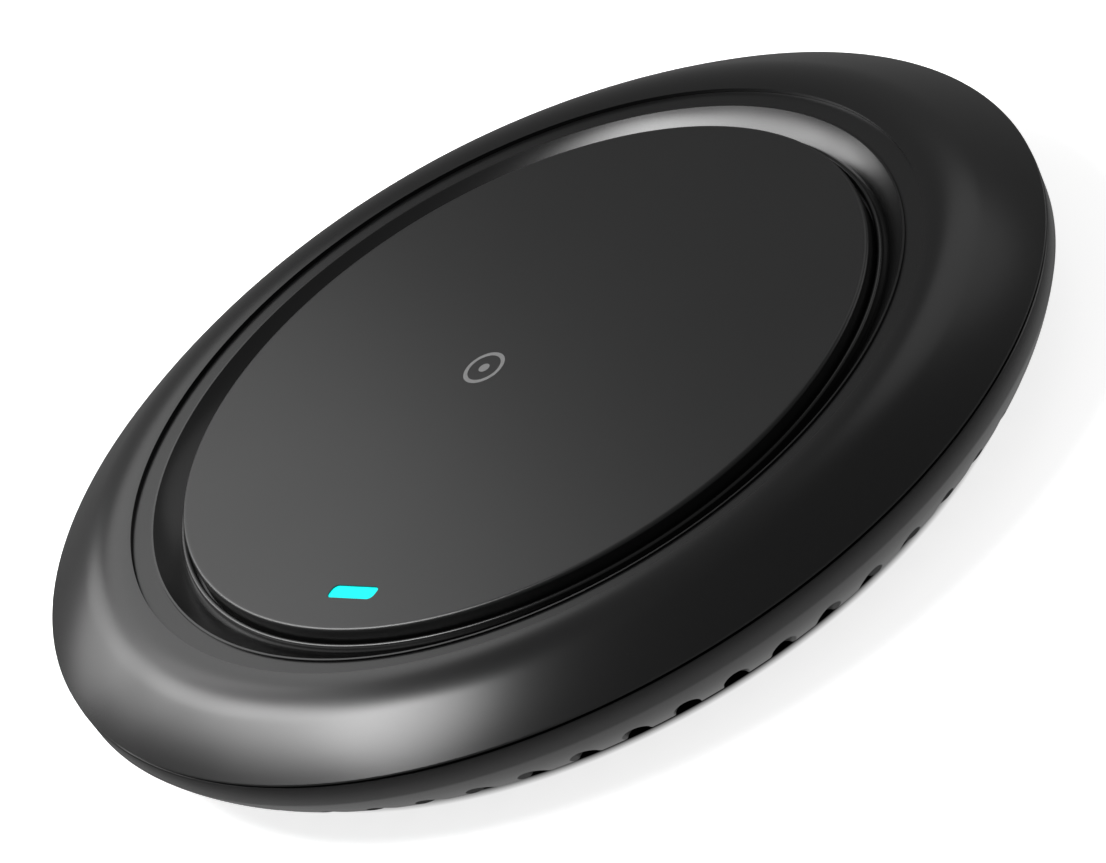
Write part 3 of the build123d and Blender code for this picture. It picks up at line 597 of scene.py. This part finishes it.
def metal(name, colour, roughness, per_mm=6.0, depth=0.001, spread=0.1):
    """A metal with a fine tool mark and uneven shine."""
    finish = plastic(name, colour, roughness, per_mm, depth, spread)
    return finish.set("Metallic", 1.0)


# %% Plain plastics and rubber inside
dress(plastic("natural_plastic", (0.66, 0.63, 0.55), 0.45), "coil_tray")
dress(plastic("adhesive_white", (0.78, 0.77, 0.73), 0.7, 7.0, 0.01, 0.08), "coil_pad")
dress(plastic("wire_red", (0.42, 0.02, 0.015), 0.4, 3.0, 0.002), "fan_lead", "thermistor_leads")
dress(plastic("chip_black", (0.02, 0.02, 0.021), 0.55, 14.0, 0.004, 0.3), "controller_chip",
      "bridge_transistors", "thermistor")
dress(plastic("connector_black", (0.015, 0.015, 0.016), 0.38), "fan_socket", "usb_tongue")
dress(plastic("magnet_black", (0.055, 0.052, 0.05), 0.5, 10.0, 0.004, 0.25), "fan_magnet")
fan_black = plastic("fan_black", (0.022, 0.022, 0.024), 0.42, 5.0, 0.003, 0.2)
dress(fan_black, "fan_frame")

# %% Metals inside
steel = metal("screw_steel", (0.50, 0.50, 0.51), 0.3)
dress(steel, "case_screws", "tray_screws", "board_screws", "fan_screws")
dress(metal("can_metal", (0.62, 0.60, 0.55), 0.25, 9.0), "usb_shell", "timing_crystal")
dress(metal("contact_gold", (0.95, 0.66, 0.26), 0.22, 8.0), "usb_contacts")
dress(metal("bearing_bronze", (0.62, 0.40, 0.20), 0.5, 14.0, 0.004, 0.3), "fan_bearing")
dress(metal("shaft_steel", (0.66, 0.66, 0.68), 0.16, 10.0, 0.0005), "fan_shaft")

# %% [markdown]
# ## Copper strands
# The coil is wound from a bundle of hair-thin wires, twisted together. Seen from above the
# strands run nearly along the turn and slope across it, so one wave over the distance and
# the angle together draws them.

# %% Coil copper and windings
copper = Finish("litz_copper", (0.78, 0.36, 0.17), 0.34, Metallic=1.0)
x, y, z = copper.split()
angle = copper.node("ShaderNodeMath", {"operation": "ARCTAN2"}, y, x)
radius = (x * x + y * y).power(0.5)
strands = (radius * (2 * pi / 0.16) + angle * 230 + z * 18).sin() * 0.5 + 0.5
lacquer = copper.noise(1.5, 2)
copper.set("Base Color", copper.blend(strands, (0.42, 0.15, 0.06, 1), (0.88, 0.45, 0.23, 1)))
copper.set("Roughness", 0.28 + lacquer * 0.2).bump(strands, 0.03)
dress(copper, "transmit_coil", "coil_leads")

enamel = Finish("winding_copper", (0.62, 0.24, 0.09), 0.3, Metallic=1.0)
turns = (enamel.split()[2] * (2 * pi / 0.14)).sin() * 0.5 + 0.5
enamel.set("Base Color", enamel.blend(turns, (0.30, 0.09, 0.03, 1), (0.75, 0.32, 0.13, 1)))
dress(enamel.bump(turns, 0.03), "fan_windings")

# %% Pressed and sintered parts
sheets = Finish("lamination_steel", (0.32, 0.32, 0.33), 0.4, Metallic=1.0)
edges = (sheets.split()[2] * (2 * pi / 0.2)).sin() * 0.5 + 0.5
sheets.set("Base Color", sheets.blend(edges, (0.16, 0.16, 0.17, 1), (0.42, 0.42, 0.43, 1)))
dress(sheets.bump(edges, 0.02), "fan_stator")
dress(plastic("ferrite_grey", (0.045, 0.043, 0.045), 0.5, 8.0, 0.006, 0.4), "ferrite_shield",
      "power_inductor")

# %% [markdown]
# ## The circuit board
# Green lacquer lies over copper tracks, and a track shows as a lighter green that stands a
# little proud. The tracks follow rings round the hole in the board, broken up by noise so
# that they start and stop.

# %% Board, capacitors and lamps
board = Finish("board_green", (0.01, 0.09, 0.035), 0.35, Coat_Weight=0.5, Coat_Roughness=0.15)
x, y, z = board.split()
radius = (x * x + y * y).power(0.5)
angle = board.node("ShaderNodeMath", {"operation": "ARCTAN2"}, y, x)
rings = (radius * (2 * pi / 0.9)).sin().above(0.25)
spokes = (angle * 46).sin().above(0.82)
patches = board.noise(0.16, 1)
tracks = rings * patches.above(0.52) + spokes * (1 - patches.above(0.46))
board.set("Base Color", board.blend(tracks, (0.006, 0.055, 0.022, 1), (0.02, 0.16, 0.06, 1)))
dress(board.bump(tracks, 0.03), "circuit_board")

ceramic = Finish("ceramic_tan", (0.52, 0.36, 0.2), 0.4)
x, y, z = ceramic.split()
radius = (x * x + y * y).power(0.5)
near = (30 - radius).above(0)
cap_inner = radius.above(28.15) + (25.85 - radius).above(0)
cap_outer = y.above(37.3) + (34.8 - y).above(0)
caps = near * cap_inner + (1 - near) * cap_outer
ceramic.set("Base Color", ceramic.blend(caps, (0.45, 0.30, 0.16, 1), (0.72, 0.72, 0.70, 1)))
ceramic.set("Metallic", caps).bump(ceramic.noise(9.0, 3), 0.004)
dress(ceramic, "resonant_capacitors", "input_capacitors", "small_passives")
dress(plastic("led_yellow", (0.85, 0.62, 0.12), 0.3, 6.0, 0.002, 0.1), "status_leds")

# %% [markdown]
# ## The fan
# A flat cup carries eleven thin blades. Each blade is an arc that starts at the cup. It is
# drawn upwards, its top is turned a little ahead of its foot, which gives it pitch, and it
# then gets its thickness. It turns with its own CAD body.

# %% Fan rotor
HUB_R, HUB_Z, HUB_TOP, HUB_WALL, HUB_ROUND, SHAFT_R = 6.8, 3.2, 6.9, 0.7, 0.5, 0.8
BLADES, BLADE_Z, BLADE_TOP, BLADE_THICK = 11, 3.5, 6.7, 0.45
BLADE_BEND, BLADE_SWEEP, BLADE_LEAN = 7.6, 52, 9

rotor = (Outline(SHAFT_R, HUB_Z)
         .line((HUB_R - HUB_ROUND, HUB_Z))
         .arc(HUB_R - HUB_ROUND, HUB_Z + HUB_ROUND, 90, 6)
         .line((HUB_R, HUB_TOP), (HUB_R - HUB_WALL, HUB_TOP), (HUB_R - HUB_WALL, HUB_Z + HUB_WALL),
               (SHAFT_R, HUB_Z + HUB_WALL))
         .spin(steps=120))
blade = bmesh.new()
root_x = (HUB_R - HUB_WALL / 2) * MM
root = blade.verts.new((root_x, 0, BLADE_Z * MM))
bmesh.ops.spin(blade, geom=[root], cent=(root_x, BLADE_BEND * MM, BLADE_Z * MM),
               axis=(0, 0, 1), angle=radians(BLADE_SWEEP), steps=14)
risen = bmesh.ops.extrude_edge_only(blade, edges=blade.edges)["geom"]
crest = [g for g in risen if isinstance(g, bmesh.types.BMVert)]
bmesh.ops.translate(blade, vec=(0, 0, (BLADE_TOP - BLADE_Z) * MM), verts=crest)
bmesh.ops.rotate(blade, cent=(0, 0, 0), matrix=Matrix.Rotation(radians(BLADE_LEAN), 3, "Z"),
                 verts=[v for v in crest if v.co.xy.length > (HUB_R + 0.5) * MM])
bmesh.ops.solidify(blade, geom=blade.faces, thickness=BLADE_THICK * MM)
bmesh.ops.recalc_face_normals(blade, faces=blade.faces)
print("blade reaches", round(max(v.co.xy.length for v in blade.verts) / MM, 2), "mm")
for place in range(BLADES):
    add(rotor, blade, place * 360 / BLADES)
piece("rotor", rotor, fan_black.material, ["fan_rotor"], body="fan_rotor")

# %% [markdown]
# ## Floor and light
# A pale floor, and soft lamps: this is the usual set for a black product, where the lamps
# draw the shape as reflections. The floor glows a little, which keeps the pad's shadow off
# it. Right under the pad it carries a painted shadow, near black and without glow, so
# that the vents stay dark.

# %% Floor
# Painted shadow: inside the first radius the floor is near black and does not glow, and it fades to
# the open floor by the second.
PAINTED_SHADOW_R, PAINTED_SHADOW_FADE_R, HALF_FLOOR = 42.6, 43.8, 2.5
floor_finish = Finish("floor", (0.9, 0.9, 0.9), 0.9)
x, y, _ = floor_finish.split()
beyond_painted_shadow = floor_finish.node("ShaderNodeMapRange", {}, (x * x + y * y).power(0.5), PAINTED_SHADOW_R,
                               PAINTED_SHADOW_FADE_R)
floor_finish.set("Emission Color", floor_finish.blend(beyond_painted_shadow, (0, 0, 0, 1), (1, 1, 1, 1)))
floor_finish.set("Base Color", floor_finish.blend(beyond_painted_shadow, (0.01, 0.01, 0.01, 1),
                                                  (0.9, 0.9, 0.9, 1)))
floor_finish.set("Emission Strength", 0.8)
floor_finish.set("Specular IOR Level", 0.0)
floor_bm = bmesh.new()
bmesh.ops.create_grid(floor_bm, x_segments=1, y_segments=1, size=HALF_FLOOR)
floor_mesh = bpy.data.meshes.new("floor")
floor_bm.to_mesh(floor_mesh)
floor_bm.free()
floor_mesh.materials.append(floor_finish.material)
floor = bpy.data.objects.new("floor", floor_mesh)
scene.collection.objects.link(floor)
floor.visible_glossy = False


# %% Lamps
def lamp(name, azimuth, elevation, distance, size, brightness):
    """A round soft lamp, placed by its direction as seen from the camera's side."""
    a, e = AZIMUTH + radians(azimuth), radians(elevation)
    toward = Vector((sin(a) * cos(e), -cos(a) * cos(e), sin(e)))
    light = bpy.data.lights.new(name, "AREA")
    light.shape = "DISK"
    light.size = size
    light.energy = brightness * pi * pi * size * size / 4
    thing = bpy.data.objects.new(name, light)
    thing.matrix_world = (Matrix.Translation(toward * distance)
                          @ toward.to_track_quat("Z", "Y").to_matrix().to_4x4())
    thing.visible_camera = False
    scene.collection.objects.link(thing)


# A strip of lamps stands behind on the left. It sinks and dims from its top to its foot.
STRIP_LAMPS = 9
STRIP_TOP, STRIP_FOOT = (-93, 61), (-150, 18)
STRIP_BRIGHT, STRIP_DIM = 4.6, 2.0
STRIP, NEAR, FILL = (0.45, 0.15), (0.18, 0.09), (0.45, 0.26)      # distance and size, metres
for number in range(STRIP_LAMPS):
    share = number / (STRIP_LAMPS - 1)
    lamp(f"strip_{number}", STRIP_TOP[0] + (STRIP_FOOT[0] - STRIP_TOP[0]) * share,
         STRIP_TOP[1] + (STRIP_FOOT[1] - STRIP_TOP[1]) * share ** 2,
         *STRIP, STRIP_BRIGHT + (STRIP_DIM - STRIP_BRIGHT) * share)

# Three small lamps close by make the left side of the plate brighter than the right.
for number in range(3):
    lamp(f"near_{number}", -110 - 25 * number, 50 - 7 * number, *NEAR, 1.3)

# Two broad, weak lamps fill the right side.
lamp("fill_low", 105, 10, *FILL, 0.8)
lamp("fill_high", 140, 42, *FILL, 0.5)

# The surroundings are a dim grey that gets lighter straight below, as if over a pale table.
world = bpy.data.worlds.new("world")
world.use_nodes = True
sheet = world.node_tree
way = sheet.nodes.new("ShaderNodeTexCoord")
axes = sheet.nodes.new("ShaderNodeSeparateXYZ")
glow = sheet.nodes.new("ShaderNodeMapRange")
glow.interpolation_type = "SMOOTHSTEP"
for socket, value in {"From Min": -0.4, "From Max": -0.95, "To Min": 0.18, "To Max": 0.55}.items():
    glow.inputs[socket].default_value = value
sheet.links.new(way.outputs["Generated"], axes.inputs[0])
sheet.links.new(axes.outputs["Z"], glow.inputs["Value"])
sheet.links.new(glow.outputs[0], sheet.nodes["Background"].inputs["Strength"])
sheet.nodes["Background"].inputs["Color"].default_value = (1, 1, 1, 1)
scene.world = world
scene.view_settings.view_transform = "Standard"
